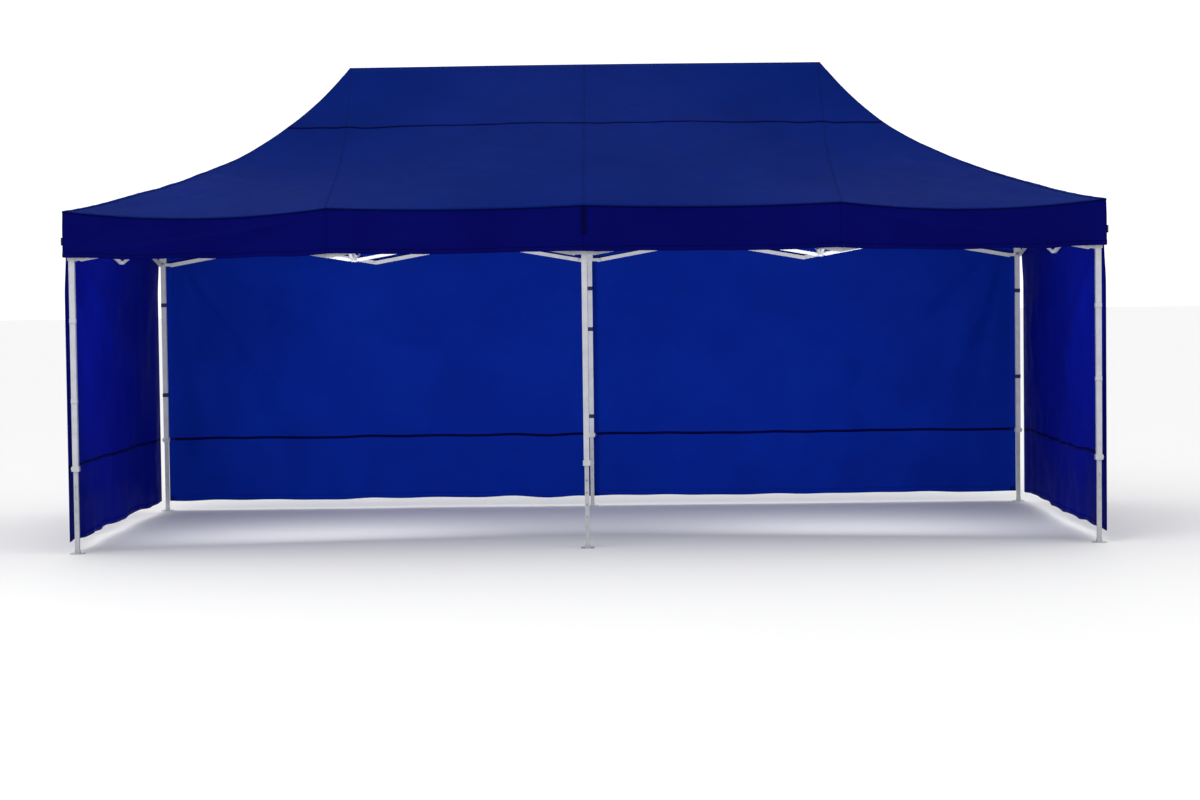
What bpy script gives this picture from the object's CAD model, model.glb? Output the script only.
import math
import random

import bpy
import numpy as np
from mathutils import Matrix, Vector


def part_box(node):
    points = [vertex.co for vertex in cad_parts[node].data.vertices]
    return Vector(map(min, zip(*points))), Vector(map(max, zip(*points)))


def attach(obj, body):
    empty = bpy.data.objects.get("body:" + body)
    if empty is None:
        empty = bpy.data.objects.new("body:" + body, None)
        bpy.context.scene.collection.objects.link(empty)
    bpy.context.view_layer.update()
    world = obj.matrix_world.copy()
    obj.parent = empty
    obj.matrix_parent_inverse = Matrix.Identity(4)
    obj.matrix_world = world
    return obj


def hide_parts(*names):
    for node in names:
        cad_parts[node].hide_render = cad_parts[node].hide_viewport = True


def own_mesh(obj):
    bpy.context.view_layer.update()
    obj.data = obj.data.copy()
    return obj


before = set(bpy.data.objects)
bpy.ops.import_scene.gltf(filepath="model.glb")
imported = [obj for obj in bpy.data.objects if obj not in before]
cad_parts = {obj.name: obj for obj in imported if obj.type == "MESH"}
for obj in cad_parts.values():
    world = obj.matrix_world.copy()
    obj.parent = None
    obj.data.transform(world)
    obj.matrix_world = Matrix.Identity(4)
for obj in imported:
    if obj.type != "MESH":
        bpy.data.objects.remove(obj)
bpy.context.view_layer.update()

# ---------------------------------------------------------------- sizes, in metres
roof_low, roof_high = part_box("canopy_roof")
HALF_X = roof_high[0]
HALF_Y = roof_high[1]
RIDGE_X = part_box("hub_right")[0][0] / 2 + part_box("hub_right")[1][0] / 2
EAVE_Z = 1.968
PEAK_Z = roof_high[2] + 0.002
HEM_Z = roof_low[2]
CORNER_WIDTH = 1.51           # flat width of a panel next to a corner
CLOTH = 0.0016
TRIM_CLOTH = 0.0012           # seams, hems and tapes of the roof and valance
STRIP_CLOTH = 0.0010          # seams, hems and tapes of the walls
HEM_LIFT = 0.0016             # how far a hem stands off the cloth below it
SEAM_LIFT = 0.0022
PATCH_LIFT = 0.0026
CORNER_SAG = 0.050            # eave between a corner and the first truss joint
MIDDLE_SAG = 0.016            # eave between a truss joint and the middle leg
SIDE_SAG = 0.030
HOLLOW_POWER = 3.6
SEAM_SHARE = 0.565            # height of the level cross seam, as a share of the roof's rise
WALL_SEAM_Z = 0.49
WALL_CLEAR_OF_BARS = 0.012    # furthest a wall may billow inwards, meant to keep it off the folding bars
WALL_CLEAR_OF_FEET = 0.010    # how far walls stand out below the valance, so that the foot plates pass
WALL_BILLOW_OUT = 0.029       # furthest a wall may billow outwards below the valance
WALL_EDGE_HOLD = 0.20         # width over which a wall's held edges lie flat


def smooth(t):
    t = np.clip(t, 0.0, 1.0)
    return t * t * (3.0 - 2.0 * t)


# ---------------------------------------------------------------- smooth noise
def wave_field(seed, count, low, high, stretch=(1.0, 1.0)):
    """A smooth random field of (u, v) in metres, about -1 to 1, with wave lengths between low and high."""
    rng = random.Random(seed)
    waves = []
    for _ in range(count):
        angle = rng.uniform(0.0, math.pi)
        length = math.exp(rng.uniform(math.log(low), math.log(high)))
        k = 2.0 * math.pi / length
        waves.append((k * math.cos(angle) / stretch[0], k * math.sin(angle) / stretch[1],
                      rng.uniform(0.0, 2.0 * math.pi), rng.uniform(0.5, 1.0)))
    norm = math.sqrt(sum(w[3] ** 2 for w in waves) / 2.0) * 1.8

    def field(u, v):
        total = 0.0
        for ku, kv, phase, size in waves:
            total = total + size * np.sin(ku * u + kv * v + phase)
        return total / norm
    return field


ROOF_BUMPS = wave_field(11, 14, 0.45, 1.6)
ROOF_FINE = wave_field(12, 16, 0.10, 0.32)
VALANCE_FOLDS = wave_field(13, 10, 0.35, 1.1, (1.0, 3.0))
WALL_BILLOW = wave_field(14, 10, 0.9, 2.4, (1.0, 1.3))
WALL_CREASE = wave_field(15, 16, 0.16, 0.55, (1.6, 1.0))
EDGE_WAVE = wave_field(16, 8, 0.25, 0.8)


# ---------------------------------------------------------------- roof surface
def eave_drop(x, y):
    """How far the eave line hangs below its supports: the legs and the truss joints between them."""
    ax, ay = np.abs(x), np.abs(y)
    corner_u = np.clip((ax - RIDGE_X) / (HALF_X - RIDGE_X), 0, 1)
    middle_u = np.clip(ax / RIDGE_X, 0, 1)
    long_side = np.where(ax > RIDGE_X, CORNER_SAG * 4 * corner_u * (1 - corner_u),
                         MIDDLE_SAG * 4 * middle_u * (1 - middle_u))
    side_u = np.clip(ay / HALF_Y, 0, 1)
    short_side = SIDE_SAG * 4 * side_u * (1 - side_u)
    on_long = ay / HALF_Y >= np.maximum(ax - RIDGE_X, 0) / (HALF_X - RIDGE_X)
    return np.where(on_long, long_side, short_side)


def hollow(x):
    """Share of the slope that hangs hollow: little in the middle, half of it at the hips."""
    return 0.07 + 0.43 * smooth(np.abs(x) / RIDGE_X - 0.1)


def slope_share(x, t):
    """Height share of the cloth, from 1 on the ridge to 0 at the eave."""
    return (1 - hollow(x)) * (1 - t) + hollow(x) * (1 - t) ** HOLLOW_POWER


def roof_point(x, y, t):
    """Height of the cloth over (x, y), where t runs from 0 on the ridge to 1 at the eave."""
    rise = PEAK_Z - EAVE_Z
    z = EAVE_Z + rise * slope_share(x, t)
    z = z - eave_drop(x, y) * t ** 3
    ax, ay = np.abs(x), np.abs(y)
    corner_r = np.hypot(HALF_X - ax, HALF_Y - ay)
    corner_a = np.arctan2(HALF_Y - ay, HALF_X - ax + 1e-6)
    peak_r = np.hypot(ax - RIDGE_X, ay)
    peak_a = np.arctan2(ay, ax - RIDGE_X)
    inner = np.clip(4 * t * (1 - t), 0, 1)
    z = z + 0.006 * np.sin(13 * corner_a) * np.exp(-corner_r / 0.5) * np.clip(corner_r / 0.2, 0, 1) * inner
    z = z + 0.006 * np.sin(12 * peak_a) * np.exp(-peak_r / 0.45) * np.clip(peak_r / 0.2, 0, 1) * inner
    z = z + inner * (0.007 * ROOF_BUMPS(x, y) + 0.0016 * ROOF_FINE(x, y))
    # the slope pulls a faint fold from each truss joint up to its peak
    on_long = ay / HALF_Y >= np.maximum(ax - RIDGE_X, 0) / CORNER_WIDTH
    on_joint = np.exp(-((ax - RIDGE_X) / 0.05) ** 2) * on_long
    return z + 0.006 * on_joint * inner


def slope_xy(side, u, t, sx):
    """Plan position on one roof panel; u runs 0 to 1 along the eave, away from the middle of the side."""
    if side == "long_inner":
        return sx * RIDGE_X * u, HALF_Y * t
    if side == "long_corner":
        reach = (HALF_X - RIDGE_X) * t
        return sx * (RIDGE_X + reach * u), HALF_Y * t
    return sx * (RIDGE_X + (HALF_X - RIDGE_X) * t), HALF_Y * t * u


# ---------------------------------------------------------------- mesh helpers
def link(obj):
    bpy.context.scene.collection.objects.link(obj)
    return obj


def grid_object(name, points, material, thickness=CLOTH, flip=False):
    """A closed thin sheet from an array of points (rows, columns, 3)."""
    rows, cols = points.shape[:2]
    p = points.astype(float)
    du = np.gradient(p, axis=1)
    dv = np.gradient(p, axis=0)
    normal = np.cross(du, dv)
    normal /= np.maximum(np.linalg.norm(normal, axis=2, keepdims=True), 1e-12)
    if flip:
        normal = -normal
    back = p - normal * thickness
    verts = np.concatenate([p.reshape(-1, 3), back.reshape(-1, 3)])
    base = rows * cols
    faces = []
    for r in range(rows - 1):
        for c in range(cols - 1):
            a, b = r * cols + c, r * cols + c + 1
            d, e = a + cols, b + cols
            top = (a, b, e, d)
            under = (base + a, base + d, base + e, base + b)
            faces.append(top[::-1] if flip else top)
            faces.append(under[::-1] if flip else under)
    rim = list(range(cols))
    rim += [r * cols + cols - 1 for r in range(1, rows)]
    rim += [(rows - 1) * cols + c for c in range(cols - 2, -1, -1)]
    rim += [r * cols for r in range(rows - 2, 0, -1)]
    for i, a in enumerate(rim):
        b = rim[(i + 1) % len(rim)]
        quad = (a, base + a, base + b, b)
        faces.append(quad[::-1] if flip else quad)
    mesh = bpy.data.meshes.new(name)
    mesh.from_pydata([tuple(v) for v in verts], [], faces)
    mesh.materials.append(material)
    smooth_faces = len(faces) - len(rim)
    mesh.polygons.foreach_set("use_smooth", [k < smooth_faces for k in range(len(faces))])
    mesh.validate()
    mesh.update()
    return link(bpy.data.objects.new(name, mesh))


def outward(points, centre):
    """Whether the grid's own normals point away from a centre point."""
    du = points[:, 1:][:-1] - points[:, :-1][:-1]
    dv = points[1:][:, :-1] - points[:-1][:, :-1]
    normal = np.cross(du, dv)
    away = points[:-1, :-1] - np.array(centre)
    return float((normal * away).sum()) > 0


def cloth_piece(name, points, material, thickness=CLOTH, centre=(0, 0, 1.2)):
    return grid_object(name, points, material, thickness, flip=not outward(points, centre))


def box_object(name, low, high, material, bevel=0.002):
    """A rounded block between two corners."""
    low, high = Vector(low), Vector(high)
    bpy.ops.mesh.primitive_cube_add(size=1, location=(low + high) / 2)
    obj = bpy.context.object
    obj.scale = high - low
    bpy.ops.object.transform_apply(location=True, rotation=True, scale=True)
    obj.name = name
    obj.data.name = name
    mod = obj.modifiers.new("round", "BEVEL")
    mod.width = bevel
    mod.segments = 3
    bpy.ops.object.modifier_apply(modifier=mod.name)
    obj.data.materials.append(material)
    obj.data.polygons.foreach_set("use_smooth", [True] * len(obj.data.polygons))
    return obj


# ---------------------------------------------------------------- materials
def new_material(name):
    mat = bpy.data.materials.new(name)
    mat.use_nodes = True
    nodes = mat.node_tree.nodes
    return mat, nodes, mat.node_tree.links, nodes["Principled BSDF"]


def add(nodes, kind, **inputs):
    n = nodes.new(kind)
    for key, value in inputs.items():
        n.inputs[key.replace("_", " ")].default_value = value
    return n


def oxford(name, dark, light, rough, sheen):
    """Coated oxford weave: fine crossed threads, faint cloudy colour and soft handling creases."""
    mat, nodes, links, bsdf = new_material(name)
    coords = nodes.new("ShaderNodeTexCoord")
    cloud = add(nodes, "ShaderNodeTexNoise", Scale=2.2, Detail=5.0, Roughness=0.6)
    ramp = nodes.new("ShaderNodeValToRGB")
    ramp.color_ramp.elements[0].position = 0.3
    ramp.color_ramp.elements[0].color = (*dark, 1)
    ramp.color_ramp.elements[1].position = 0.72
    ramp.color_ramp.elements[1].color = (*light, 1)
    links.new(coords.outputs["Object"], cloud.inputs["Vector"])
    links.new(cloud.outputs["Fac"], ramp.inputs["Fac"])
    links.new(ramp.outputs["Color"], bsdf.inputs["Base Color"])
    threads = []
    for axis in ("X", "Y", "Z"):
        wave = add(nodes, "ShaderNodeTexWave", Scale=260.0, Distortion=0.6, Detail=1.0)
        wave.bands_direction = axis
        links.new(coords.outputs["Object"], wave.inputs["Vector"])
        threads.append(wave)
    total = nodes.new("ShaderNodeMath")
    total.operation = "ADD"
    links.new(threads[0].outputs["Fac"], total.inputs[0])
    links.new(threads[1].outputs["Fac"], total.inputs[1])
    weave = nodes.new("ShaderNodeMath")
    weave.operation = "ADD"
    links.new(total.outputs[0], weave.inputs[0])
    links.new(threads[2].outputs["Fac"], weave.inputs[1])
    fine = add(nodes, "ShaderNodeBump", Strength=0.10, Distance=0.0006)
    links.new(weave.outputs[0], fine.inputs["Height"])
    crease = add(nodes, "ShaderNodeTexNoise", Scale=9.0, Detail=6.0, Roughness=0.55, Distortion=0.8)
    links.new(coords.outputs["Object"], crease.inputs["Vector"])
    coarse = add(nodes, "ShaderNodeBump", Strength=0.22, Distance=0.008)
    links.new(crease.outputs["Fac"], coarse.inputs["Height"])
    links.new(fine.outputs["Normal"], coarse.inputs["Normal"])
    links.new(coarse.outputs["Normal"], bsdf.inputs["Normal"])
    uneven = add(nodes, "ShaderNodeMapRange")
    uneven.inputs["To Min"].default_value = rough - 0.08
    uneven.inputs["To Max"].default_value = rough + 0.10
    links.new(crease.outputs["Fac"], uneven.inputs["Value"])
    links.new(uneven.outputs["Result"], bsdf.inputs["Roughness"])
    bsdf.inputs["Specular IOR Level"].default_value = 0.015
    bsdf.inputs["Sheen Weight"].default_value = sheen
    bsdf.inputs["Sheen Roughness"].default_value = 0.5
    bsdf.inputs["Sheen Tint"].default_value = (0.10, 0.2, 0.9, 1)
    return mat


def powder_coat(name, colour, rough):
    """Powder-coated steel: orange-peel bump, faint scuffs and a slightly duller, dirtier grain."""
    mat, nodes, links, bsdf = new_material(name)
    coords = nodes.new("ShaderNodeTexCoord")
    peel = add(nodes, "ShaderNodeTexNoise", Scale=420.0, Detail=2.0)
    scuff = add(nodes, "ShaderNodeTexNoise", Scale=14.0, Detail=8.0, Roughness=0.7)
    links.new(coords.outputs["Object"], peel.inputs["Vector"])
    links.new(coords.outputs["Object"], scuff.inputs["Vector"])
    ramp = nodes.new("ShaderNodeValToRGB")
    ramp.color_ramp.elements[0].position = 0.28
    ramp.color_ramp.elements[0].color = (*[0.80 * c for c in colour], 1)
    ramp.color_ramp.elements[1].position = 0.6
    ramp.color_ramp.elements[1].color = (*colour, 1)
    links.new(scuff.outputs["Fac"], ramp.inputs["Fac"])
    links.new(ramp.outputs["Color"], bsdf.inputs["Base Color"])
    bump = add(nodes, "ShaderNodeBump", Strength=0.12, Distance=0.0006)
    links.new(peel.outputs["Fac"], bump.inputs["Height"])
    links.new(bump.outputs["Normal"], bsdf.inputs["Normal"])
    spread = nodes.new("ShaderNodeMapRange")
    spread.inputs["To Min"].default_value = rough - 0.06
    spread.inputs["To Max"].default_value = rough + 0.12
    links.new(scuff.outputs["Fac"], spread.inputs["Value"])
    links.new(spread.outputs["Result"], bsdf.inputs["Roughness"])
    bsdf.inputs["Metallic"].default_value = 0.0
    bsdf.inputs["Coat Weight"].default_value = 0.25
    bsdf.inputs["Coat Roughness"].default_value = 0.25
    return mat


def moulded(name, colour, rough, grain=160.0):
    """Moulded nylon or webbing: fine grain bump over a slightly mottled colour."""
    mat, nodes, links, bsdf = new_material(name)
    coords = nodes.new("ShaderNodeTexCoord")
    noise = add(nodes, "ShaderNodeTexNoise", Scale=grain, Detail=3.0)
    mottle = add(nodes, "ShaderNodeTexNoise", Scale=20.0, Detail=4.0)
    links.new(coords.outputs["Object"], noise.inputs["Vector"])
    links.new(coords.outputs["Object"], mottle.inputs["Vector"])
    ramp = nodes.new("ShaderNodeValToRGB")
    ramp.color_ramp.elements[0].color = (*[0.82 * c for c in colour], 1)
    ramp.color_ramp.elements[1].color = (*colour, 1)
    links.new(mottle.outputs["Fac"], ramp.inputs["Fac"])
    links.new(ramp.outputs["Color"], bsdf.inputs["Base Color"])
    bump = add(nodes, "ShaderNodeBump", Strength=0.2, Distance=0.0005)
    links.new(noise.outputs["Fac"], bump.inputs["Height"])
    links.new(bump.outputs["Normal"], bsdf.inputs["Normal"])
    bsdf.inputs["Roughness"].default_value = rough
    return mat


ROOF_CLOTH = oxford("roof_cloth", (0.0010, 0.0090, 0.108), (0.0014, 0.0115, 0.132), 0.62, 0.005)
VALANCE_CLOTH = oxford("valance_cloth", (0.0008, 0.0012, 0.074), (0.0010, 0.0018, 0.090), 0.64, 0.003)
WALL_CLOTH = oxford("wall_cloth", (0.0008, 0.0120, 0.195), (0.0010, 0.0155, 0.240), 0.62, 0.005)
SIDE_CLOTH = oxford("side_cloth", (0.0008, 0.0026, 0.130), (0.0010, 0.0040, 0.155), 0.64, 0.003)
SEAM_CLOTH = oxford("seam_cloth", (0.0006, 0.0010, 0.030), (0.0008, 0.0016, 0.040), 0.7, 0.0)
OUTER_TUBE = powder_coat("outer_tube_coat", (0.46, 0.47, 0.51), 0.38)
INNER_TUBE = powder_coat("inner_tube_coat", (0.38, 0.39, 0.42), 0.34)
BAR_COAT = powder_coat("bar_coat", (0.50, 0.51, 0.54), 0.38)
JOINT_NYLON = moulded("joint_nylon", (0.46, 0.47, 0.50), 0.5)
BUCKLE_BLACK = moulded("buckle_black", (0.012, 0.012, 0.014), 0.42)
STRAP_BLUE = moulded("strap_navy", (0.004, 0.008, 0.09), 0.8, 380.0)
STRAP_LIGHT = moulded("strap_light", (0.5, 0.51, 0.54), 0.8, 380.0)


def dress_frame():
    """Gives every CAD node that still shows its own finish."""
    finishes = [("leg_", OUTER_TUBE), ("inner_leg_", INNER_TUBE),
                ("bar_", BAR_COAT), ("strut_", BAR_COAT),
                ("slider_", JOINT_NYLON), ("hub_", JOINT_NYLON),
                ("eye_", JOINT_NYLON), ("centre_", JOINT_NYLON)]
    for name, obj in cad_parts.items():
        for start, material in finishes:
            if name.startswith(start):
                for slot in obj.material_slots:
                    slot.material = material


# ---------------------------------------------------------------- roof and valance
def roof_panels():
    """Side of the roof, sign of x, sign of y and the scissor bar that carries it, for every panel."""
    panels = []
    for sx, hand in ((-1, "left"), (1, "right")):
        panels.append(("long_inner", sx, -1, f"bar_front_{hand}_1"))
        panels.append(("long_corner", sx, -1, f"bar_front_{hand}_3"))
        panels.append(("short", sx, -1, f"bar_side_{hand}_1"))
        panels.append(("short", sx, 1, f"bar_side_{hand}_3"))
        panels.append(("long_corner", sx, 1, f"bar_back_{hand}_1"))
        panels.append(("long_inner", sx, 1, f"bar_back_{hand}_3"))
    return panels


def panel_name(side, sx, sy):
    return f"{side}_{'left' if sx < 0 else 'right'}_{'front' if sy < 0 else 'back'}"


def gather_roof(piece, side, sx, sy):
    """As the frame folds, a roof panel gathers along its slope, to a line just inside the legs."""
    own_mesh(piece)


def valance_leg(side, sx, sy):
    """The leg that a valance panel hangs from."""
    end = "front" if sy < 0 else "back"
    hand = "left" if sx < 0 else "right"
    return f"leg_{end}_mid" if side == "long_inner" else f"leg_{end}_{hand}"


def gather_valance(piece, side, sx, sy):
    """As the legs close up, the eave stays level and its valance gathers sideways towards its leg."""
    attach(piece, valance_leg(side, sx, sy))
    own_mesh(piece)


def slope_points(side, sx, sy, us, ts, lift=0.0):
    u, t = np.meshgrid(us, ts)
    x, y = slope_xy(side, u, t, sx)
    y = y * sy
    z = roof_point(x, y, t) + lift
    return np.stack([x, y, z], axis=2)


def level_seam(side, sx, sy, us):
    """A narrow strip along the slope where it is SEAM_SHARE of the rise high."""
    rows = []
    for off in (-0.0035, -0.001, 0.001, 0.0035):
        t = np.full_like(us, 0.4)
        for _ in range(30):
            x, _y = slope_xy(side, us, t, sx)
            t = t + (slope_share(x, t) - SEAM_SHARE) * 0.7
        t = t + off
        x, y = slope_xy(side, us, t, sx)
        y = y * sy
        rows.append(np.stack([x, y, roof_point(x, y, t) + SEAM_LIFT], axis=1))
    return np.stack(rows)


def eave_line(side, sx, sy, u):
    x, y = slope_xy(side, u, np.ones_like(u), sx)
    y = y * sy
    return x, y, roof_point(x, y, np.ones_like(u))


def valance_points(side, sx, sy, us, depths, out=0.0):
    """Rows down the valance; it hangs from the eave and gathers in slack folds between its supports."""
    u, d = np.meshgrid(us, depths)
    x, y, z = eave_line(side, sx, sy, u)
    along = x if side != "short" else y + 7.0
    sag = eave_drop(x, y)
    slack = sag / CORNER_SAG
    bottom = HEM_Z - 0.35 * sag + 0.004 * EDGE_WAVE(along, along * 0)
    zz = z + (bottom - z) * d
    # slanting folds, which fade where the eave is held up
    if side == "short":
        corner_u = np.clip(np.abs(y) / HALF_Y, 0, 1)
    else:
        corner_u = np.clip(1 - (HALF_X - np.abs(x)) / 1.5, 0, 1)
    fold = 0.009 * np.sin(9.0 * (1 - corner_u) + 5.0 * d) * slack
    if side == "long_corner":
        across = (d - (0.04 + 0.86 * u)) / 0.10
        crease = np.exp(-across ** 2) * np.tanh(3 * across + 1)
        fold = fold + 0.012 * crease * np.sin(math.pi * np.clip(u, 0, 1))
    depth = (0.007 * VALANCE_FOLDS(along, zz) + fold) * np.minimum(1, 3 * d)
    depth = np.clip(depth, -0.003, 0.014) + out
    if side == "short":
        x = x + sx * depth
    else:
        y = y + sy * depth
    return np.stack([x, y, zz], axis=2)


def build_roof():
    """Twelve roof panels, and the valance panel below each."""
    ts = np.linspace(0.004, 1.0, 64)
    for side, sx, sy, body in roof_panels():
        label = panel_name(side, sx, sy)
        us = np.linspace(0, 1, 56)
        roof = cloth_piece(f"roof_{label}", slope_points(side, sx, sy, us, ts), ROOF_CLOTH)
        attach(roof, body)
        gather_roof(roof, side, sx, sy)
        # a corner panel is a triangle, half of its own rectangle
        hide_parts("canopy_roof")
        depths = np.linspace(0, 1, 22)
        fine = np.linspace(0, 1, 90)
        drop = cloth_piece(f"valance_{label}", valance_points(side, sx, sy, fine, depths), VALANCE_CLOTH)
        gather_valance(drop, side, sx, sy)
        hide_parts("canopy_roof")
        build_roof_trim(label, side, sx, sy, body)


def roof_trim(name, points, material, body, place):
    """A seam or hem that folds with its roof panel."""
    piece = cloth_piece(name, points, material, TRIM_CLOTH)
    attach(piece, body)
    gather_roof(piece, *place)


def valance_trim(name, points, material, place):
    """A seam or hem that folds with its valance panel."""
    piece = cloth_piece(name, points, material, TRIM_CLOTH)
    gather_valance(piece, *place)


def build_roof_trim(label, side, sx, sy, body):
    """Seams and hems of one roof panel: cross seam, eave seam, hem band and the stitched edge seams."""
    us = np.linspace(0, 1, 56)
    fine = np.linspace(0, 1, 90)
    place = (side, sx, sy)
    roof_trim(f"cross_seam_{label}", level_seam(side, sx, sy, us), SEAM_CLOTH, body, place)
    hip_u = np.array([0.986, 0.993, 1.0])
    ts = np.linspace(0.03, 1.0, 60)
    if side != "long_inner":
        hip = slope_points(side, sx, sy, hip_u, ts, SEAM_LIFT)
        roof_trim(f"hip_seam_{label}", hip, ROOF_CLOTH, body, place)
    eave = valance_points(side, sx, sy, fine, np.linspace(0.0, 0.035, 3), HEM_LIFT)
    valance_trim(f"eave_seam_{label}", eave, SEAM_CLOTH, place)
    hem = valance_points(side, sx, sy, fine, np.linspace(0.90, 1.0, 4), HEM_LIFT)
    valance_trim(f"valance_hem_{label}", hem, VALANCE_CLOTH, place)
    stitch = valance_points(side, sx, sy, fine, np.linspace(0.893, 0.903, 2), SEAM_LIFT)
    valance_trim(f"hem_stitch_{label}", stitch, SEAM_CLOTH, place)
    if side == "long_inner":
        near_leg = np.linspace(0.0, 0.010, 3)
        patch = valance_points(side, sx, sy, near_leg, np.linspace(0.04, 0.62, 12), PATCH_LIFT)
        valance_trim(f"leg_patch_{label}", patch, SEAM_CLOTH, place)


# ---------------------------------------------------------------- walls
def drag_folds(from_corner, below, shift):
    """Long soft folds that fan out of the upper corner where a wall is tied."""
    reach = np.hypot(from_corner, below)
    angle = np.arctan2(below, from_corner + 1e-6)
    fan = np.sin(15.0 * angle + shift) + 0.5 * np.sin(27.0 * angle + 2.0 * shift + 0.6 * reach)
    return fan * smooth(reach / 0.5) * np.exp(-reach / 2.0)


def wall_grid(length, cols, rows, seed_shift, top, bottom, edge_hold, tied_low):
    """Local coordinates of a hanging wall: along, height and how far it billows inwards."""
    s = np.linspace(0, length, cols)
    h = np.linspace(0, 1, rows)
    along, share = np.meshgrid(s, h)
    edge = np.minimum(along, length - along) / edge_hold
    hold = smooth(edge) * smooth(share * 3.0)
    z_low = bottom + 0.006 * EDGE_WAVE(along + seed_shift, along * 0)
    z = top + (z_low - top) * share
    billow = 0.020 * WALL_BILLOW(along + seed_shift, z) + 0.0065 * WALL_CREASE(along + seed_shift, z)
    billow = billow + 0.010 * np.sin(2.2 * along + 3.0 * z + seed_shift) * share
    from_corner = along if tied_low else length - along
    billow = billow + 0.011 * drag_folds(from_corner, top - z, seed_shift)
    # behind the valance the wall stays inside it; below it the wall stands clear of the foot plates
    below_valance = smooth((HEM_Z + 0.02 - z) / 0.25)
    billow = (billow - 0.004) * hold - WALL_CLEAR_OF_FEET * below_valance
    return along, z, np.clip(billow, -0.001 - WALL_BILLOW_OUT * below_valance, WALL_CLEAR_OF_BARS)


WALLS = [
    # node, body, corner it hangs from, direction along it, inward direction
    ("back_wall_left", "leg_back_left", (-1, 0), (0, -1)),
    ("back_wall_right", "leg_back_right", (1, 0), (0, -1)),
    ("side_wall_left", "leg_front_left", (0, -1), (1, 0)),
    ("side_wall_right", "leg_front_right", (0, -1), (-1, 0)),
]


def wall_surface(node, inward, shift, tied_low, cols=150, rows=110):
    low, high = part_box(node)
    centre = (np.array(low) + np.array(high)) / 2
    along_x = inward[0] == 0
    length = high[0] - low[0] if along_x else high[1] - low[1]
    along, z, billow = wall_grid(length, cols, rows, shift, high[2], low[2], WALL_EDGE_HOLD, tied_low)
    if along_x:
        x, y = low[0] + along, centre[1] + inward[1] * billow
    else:
        x, y = centre[0] + inward[0] * billow, low[1] + along
    return np.stack([x, y, z], axis=2), length, high[2] - low[2]


def band(points, r0, r1, c0, c1, inward, lift):
    """A strip of a wall's own grid, lifted off the cloth towards the inside."""
    part = points[r0:r1, c0:c1].copy()
    part[..., 0] += inward[0] * lift
    part[..., 1] += inward[1] * lift
    return part


def build_walls():
    for k, (node, body, hang, inward) in enumerate(WALLS):
        points, length, height = wall_surface(node, inward, 3.7 * k, node != "back_wall_right")
        rows, cols = points.shape[:2]
        is_back = inward[0] == 0
        cloth = WALL_CLOTH if is_back else SIDE_CLOTH
        low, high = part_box(node)
        pieces = []
        wall = cloth_piece(f"wall_{node}", points, cloth, CLOTH)
        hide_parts(node)
        pieces.append(wall)
        share = (high[2] - WALL_SEAM_Z) / (high[2] - low[2])
        seam = int(share * (rows - 1))
        strips = [("cross_seam", seam, seam + 2, 0, cols, SEAM_CLOTH),
                  ("bottom_hem", rows - 3, rows, 0, cols, cloth),
                  ("top_tape", 0, 4, 0, cols, SEAM_CLOTH),
                  ("edge_low", 0, rows, 0, 3, cloth),
                  ("edge_high", 0, rows, cols - 3, cols, cloth)]
        for label, r0, r1, c0, c1, material in strips:
            for face, lift in (("in", 0.0016), ("out", -0.0026)):
                strip = band(points, r0, r1, c0, c1, inward, lift)
                pieces.append(cloth_piece(f"{node}_{label}_{face}", strip, material, STRIP_CLOTH))
        for piece in pieces:
            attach(piece, body)
            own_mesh(piece)


# ---------------------------------------------------------------- straps and buckles
def strap_loop(name, x, y, z, half_w, height, material, body):
    """A hook-and-loop tie: one closed band round a square leg tube."""
    ring = []
    corner = 0.006
    steps = 6
    for cx, cy, start in ((1, 1, 0), (-1, 1, 90), (-1, -1, 180), (1, -1, 270)):
        for i in range(steps + 1):
            a = math.radians(start + 90 * i / steps)
            ring.append((x + cx * (half_w - corner) + corner * math.cos(a),
                         y + cy * (half_w - corner) + corner * math.sin(a)))
    ring.append(ring[0])
    rows = np.linspace(-height / 2, height / 2, 5)
    points = np.array([[(px, py, z + dz) for px, py in ring] for dz in rows])
    loop = cloth_piece(name, points, material, 0.0014, centre=(x, y, z))
    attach(loop, body)


def build_straps():
    ties = {"leg_front_left": (1.34, 0.88), "leg_front_right": (1.36, 0.94),
            "leg_back_left": (1.42, 0.80), "leg_back_right": (1.45, 0.86), "leg_back_mid": (1.50, 1.22, 0.62)}
    for leg, heights in ties.items():
        low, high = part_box("inner_" + leg)
        x, y = (low[0] + high[0]) / 2, (low[1] + high[1]) / 2
        for k, z in enumerate(heights):
            is_front = "front" in leg
            strap = STRAP_LIGHT if is_front else STRAP_BLUE
            strap_loop(f"tie_{leg}_{k}", x, y, z, 0.0185, 0.026, strap, leg)


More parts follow.
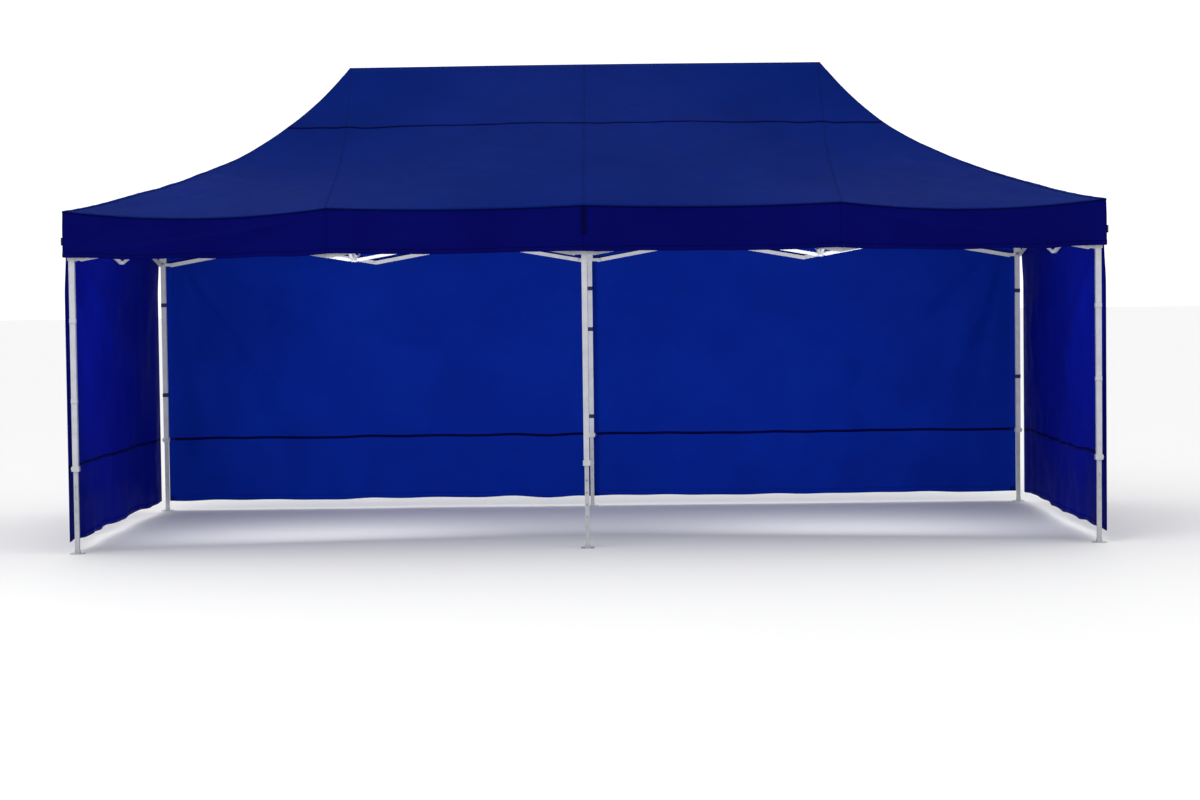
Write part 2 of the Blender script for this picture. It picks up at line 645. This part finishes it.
def build_buckles():
    """Corner tension straps: webbing down from the valance corner and a black ladder-lock buckle."""
    for sx, hand in ((-1, "left"), (1, "right")):
        for sy, end in ((-1, "front"), (1, "back")):
            x = sx * (HALF_X + 0.004)
            y = sy * (HALF_Y - 0.035)
            body = f"leg_{end}_{hand}"
            z = HEM_Z + 0.09
            label = f"{end}_{hand}"
            strap = box_object(f"corner_strap_{label}", (min(x, x + sx * 0.002), y - 0.0125, z - 0.075),
                               (max(x, x + sx * 0.002), y + 0.0125, z + 0.075), STRAP_BLUE, 0.0006)
            x0 = x + sx * 0.003
            x1 = x + sx * 0.012
            buckle = []
            for k, (dz0, dz1) in enumerate(((-0.022, -0.014), (-0.004, 0.004), (0.014, 0.022))):
                low = (min(x0, x1), y - 0.018, z + dz0)
                high = (max(x0, x1), y + 0.018, z + dz1)
                buckle.append(box_object(f"buckle_bar_{label}_{k}", low, high, BUCKLE_BLACK, 0.002))
            for k, dy in enumerate((-0.018, 0.013)):
                low = (min(x0, x1), y + dy, z - 0.022)
                high = (max(x0, x1), y + dy + 0.005, z + 0.022)
                buckle.append(box_object(f"buckle_side_{label}_{k}", low, high, BUCKLE_BLACK, 0.002))
            for piece in [strap] + buckle:
                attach(piece, body)


# ---------------------------------------------------------------- stage, light and camera
def build_stage():
    bpy.ops.mesh.primitive_plane_add(size=400, location=(0, 0, -0.001))
    floor = bpy.context.object
    floor.name = "floor"
    mat, _nodes, _links, bsdf = new_material("floor_pale")
    bsdf.inputs["Base Color"].default_value = (0.80, 0.80, 0.80, 1)
    bsdf.inputs["Roughness"].default_value = 0.7
    bsdf.inputs["Specular IOR Level"].default_value = 0.1
    floor.data.materials.append(mat)
    world = bpy.data.worlds.new("studio")
    bpy.context.scene.world = world
    world.use_nodes = True
    back = world.node_tree.nodes["Background"]
    back.inputs["Color"].default_value = (1, 1, 1, 1)
    back.inputs["Strength"].default_value = 1.15
    bpy.context.scene.view_settings.view_transform = "Standard"


def area_light(name, place, target, size, power):
    data = bpy.data.lights.new(name, "AREA")
    data.shape = "RECTANGLE"
    data.size, data.size_y = size
    data.energy = power
    obj = link(bpy.data.objects.new(name, data))
    obj.location = place
    obj.rotation_euler = (Vector(target) - Vector(place)).to_track_quat("-Z", "Y").to_euler()
    obj.visible_camera = False


def build_lights():
    area_light("key", (-3.5, -9.0, 8.5), (0, 0, 1.5), (6, 4), 260)
    for x in (-1.5, 1.5):
        area_light(f"inside_{x:.0f}", (x, -1.2, 1.15), (1.35 * x, 1.5, 1.80), (1.6, 0.5), 42)


CAMERA_PLACE = (0.185, -16.02, 1.448)
CAMERA_YAW = -0.41
CAMERA_PITCH = -2.35
CAMERA_ROLL = -0.70
CAMERA_LENS = 76.1


def build_camera():
    data = bpy.data.cameras.new("camera")
    data.sensor_width = 36
    data.lens = CAMERA_LENS
    data.clip_end = 300
    cam = link(bpy.data.objects.new("camera", data))
    yaw = Matrix.Rotation(math.radians(-CAMERA_YAW), 4, "Z")
    pitch = Matrix.Rotation(math.radians(90 + CAMERA_PITCH), 4, "X")
    roll = Matrix.Rotation(math.radians(CAMERA_ROLL), 4, "Z")
    cam.matrix_world = Matrix.Translation(CAMERA_PLACE) @ yaw @ pitch @ roll
    bpy.context.scene.camera = cam


build_camera()
build_stage()
build_lights()
dress_frame()
build_roof()
build_walls()
build_straps()
build_buckles()
